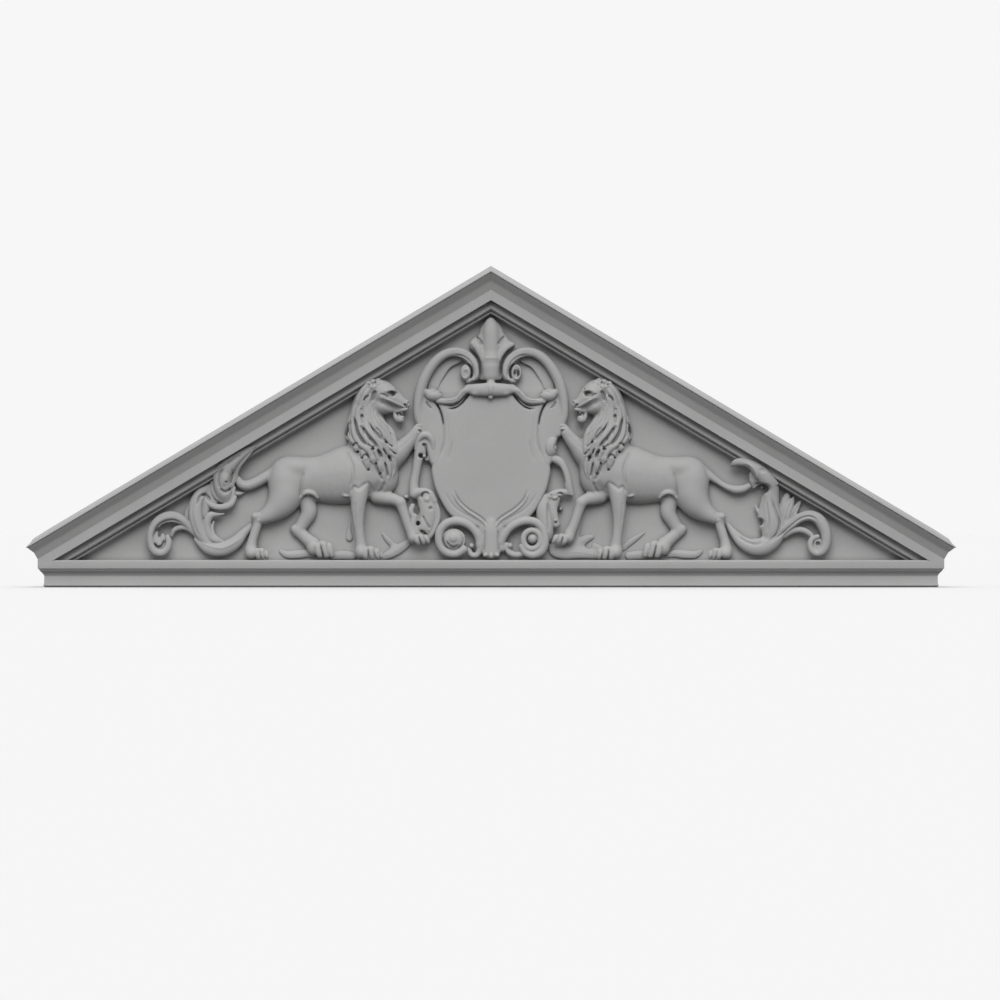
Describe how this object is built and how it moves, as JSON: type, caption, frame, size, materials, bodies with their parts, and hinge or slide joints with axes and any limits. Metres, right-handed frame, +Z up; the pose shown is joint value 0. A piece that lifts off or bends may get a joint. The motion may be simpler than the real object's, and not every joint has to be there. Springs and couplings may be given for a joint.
{
  "type": "pediment section",
  "caption": "Triangular cast stone pediment: raking cornice and base around a sunk tympanum with lions, a blank cartouche and leaf scrolls in high relief.",
  "frame": {"origin": "middle of the underside, halfway between the lip's front and the back face", "axes": "+X to the right along the base, +Y into the wall, +Z up"},
  "size_m": [2.3996, 0.144, 0.8314],
  "materials": {
    "cast_stone": "matte, fine-grained grey cast stone"
  },
  "bodies": {
    "root": {"pediment": "cast_stone"}
  },
  "joints": []
}
